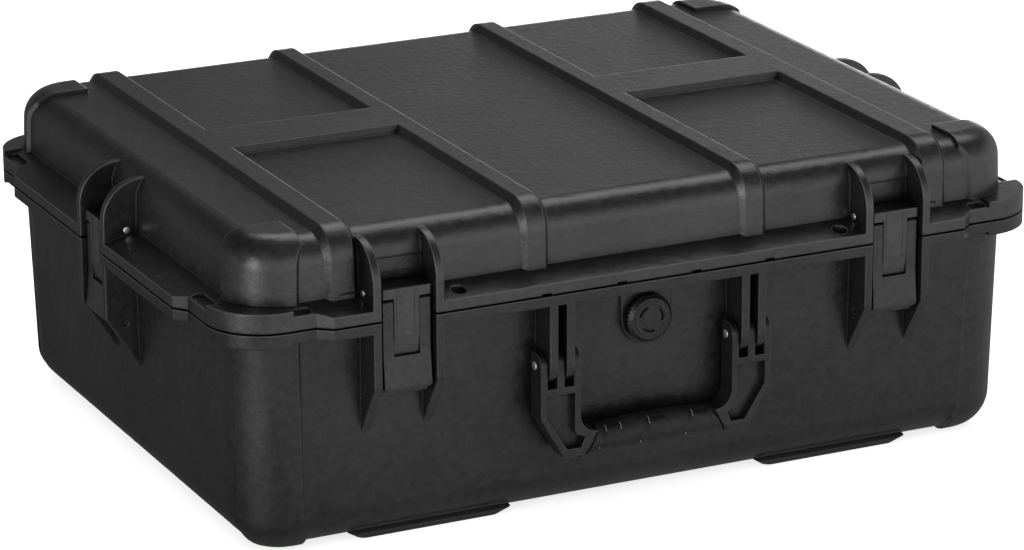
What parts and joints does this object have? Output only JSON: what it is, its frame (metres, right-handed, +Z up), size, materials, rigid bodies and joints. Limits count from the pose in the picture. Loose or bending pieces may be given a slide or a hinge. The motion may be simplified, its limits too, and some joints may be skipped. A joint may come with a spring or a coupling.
{
  "type": "waterproof hard case",
  "caption": "Moulded waterproof hard case with a hinged ribbed lid, press-and-pull latches, a fold-down carrying handle, padlock holes and a pressure valve.",
  "frame": {"origin": "on the floor plane of the foot pads, under the middle of the whole case", "axes": "+X along the front to the case's right in the picture, front faces -Y, +Z up"},
  "size_m": [0.6, 0.46, 0.2127],
  "materials": {
    "shell_plastic": "fine moulded texture",
    "latch_plastic": "satin",
    "handle_plastic": "satin",
    "grip_rubber": "soft matte",
    "valve_plastic": "satin",
    "seal_rubber": "matte",
    "pin_steel": "bright"
  },
  "bodies": {
    "base": {"base_shell": "shell_plastic", "hinge_pin_left": "pin_steel", "hinge_pin_right": "pin_steel", "handle_pin_left": "pin_steel", "handle_pin_right": "pin_steel", "valve_body": "valve_plastic", "valve_seal": "seal_rubber", "valve_nut": "valve_plastic", "latch_front_left_pivot_pin": "pin_steel", "latch_front_right_pivot_pin": "pin_steel", "latch_side_left_pivot_pin": "pin_steel", "latch_side_right_pivot_pin": "pin_steel"},
    "lid": {"lid_shell": "shell_plastic", "lid_gasket": "seal_rubber", "latch_front_left_catch_pin": "pin_steel", "latch_front_right_catch_pin": "pin_steel", "latch_side_left_catch_pin": "pin_steel", "latch_side_right_catch_pin": "pin_steel"},
    "handle": {"handle_frame": "handle_plastic", "handle_grip": "grip_rubber"},
    "knob": {"valve_knob": "valve_plastic"},
    "latch_front_left": {"latch_front_left_body": "latch_plastic", "latch_front_left_lever_pin": "pin_steel"},
    "lever_front_left": {"latch_front_left_lever": "latch_plastic"},
    "latch_front_right": {"latch_front_right_body": "latch_plastic", "latch_front_right_lever_pin": "pin_steel"},
    "lever_front_right": {"latch_front_right_lever": "latch_plastic"},
    "latch_side_left": {"latch_side_left_body": "latch_plastic", "latch_side_left_lever_pin": "pin_steel"},
    "lever_side_left": {"latch_side_left_lever": "latch_plastic"},
    "latch_side_right": {"latch_side_right_body": "latch_plastic", "latch_side_right_lever_pin": "pin_steel"},
    "lever_side_right": {"latch_side_right_lever": "latch_plastic"}
  },
  "joints": [
    {"name": "lid_hinge", "type": "hinge", "parent": "base", "child": "lid", "pos_m": [0, 0.2235, 0.1554], "axis": [-1, 0, 0], "range_deg": [0, 100]},
    {"name": "handle_swing", "type": "hinge", "parent": "base", "child": "handle", "pos_m": [0, -0.218, 0.106], "axis": [-1, 0, 0], "range_deg": [0, 95]},
    {"name": "valve_turn", "type": "hinge", "parent": "base", "child": "knob", "pos_m": [0, -0.219, 0.1246], "axis": [0, -1, 0], "range_deg": [0, 180]},
    {"name": "latch_front_left_swing", "type": "hinge", "parent": "base", "child": "latch_front_left", "pos_m": [-0.1755, -0.217, 0.1065], "axis": [1, 0, 0], "range_deg": [0, 130]},
    {"name": "lever_front_left_press", "type": "hinge", "parent": "latch_front_left", "child": "lever_front_left", "pos_m": [-0.1755, -0.223, 0.1605], "axis": [1, 0, 0], "range_deg": [0, 15], "stiffness_Nm_per_rad": 0.05},
    {"name": "latch_front_right_swing", "type": "hinge", "parent": "base", "child": "latch_front_right", "pos_m": [0.1755, -0.217, 0.1065], "axis": [1, 0, 0], "range_deg": [0, 130]},
    {"name": "lever_front_right_press", "type": "hinge", "parent": "latch_front_right", "child": "lever_front_right", "pos_m": [0.1755, -0.223, 0.1605], "axis": [1, 0, 0], "range_deg": [0, 15], "stiffness_Nm_per_rad": 0.05},
    {"name": "latch_side_left_swing", "type": "hinge", "parent": "base", "child": "latch_side_left", "pos_m": [-0.287, -0.0039, 0.1065], "axis": [0, -1, 0], "range_deg": [0, 130]},
    {"name": "lever_side_left_press", "type": "hinge", "parent": "latch_side_left", "child": "lever_side_left", "pos_m": [-0.293, -0.0039, 0.1605], "axis": [0, -1, 0], "range_deg": [0, 15], "stiffness_Nm_per_rad": 0.05},
    {"name": "latch_side_right_swing", "type": "hinge", "parent": "base", "child": "latch_side_right", "pos_m": [0.287, -0.0039, 0.1065], "axis": [0, 1, 0], "range_deg": [0, 130]},
    {"name": "lever_side_right_press", "type": "hinge", "parent": "latch_side_right", "child": "lever_side_right", "pos_m": [0.293, -0.0039, 0.1605], "axis": [0, 1, 0], "range_deg": [0, 15], "stiffness_Nm_per_rad": 0.05}
  ]
}
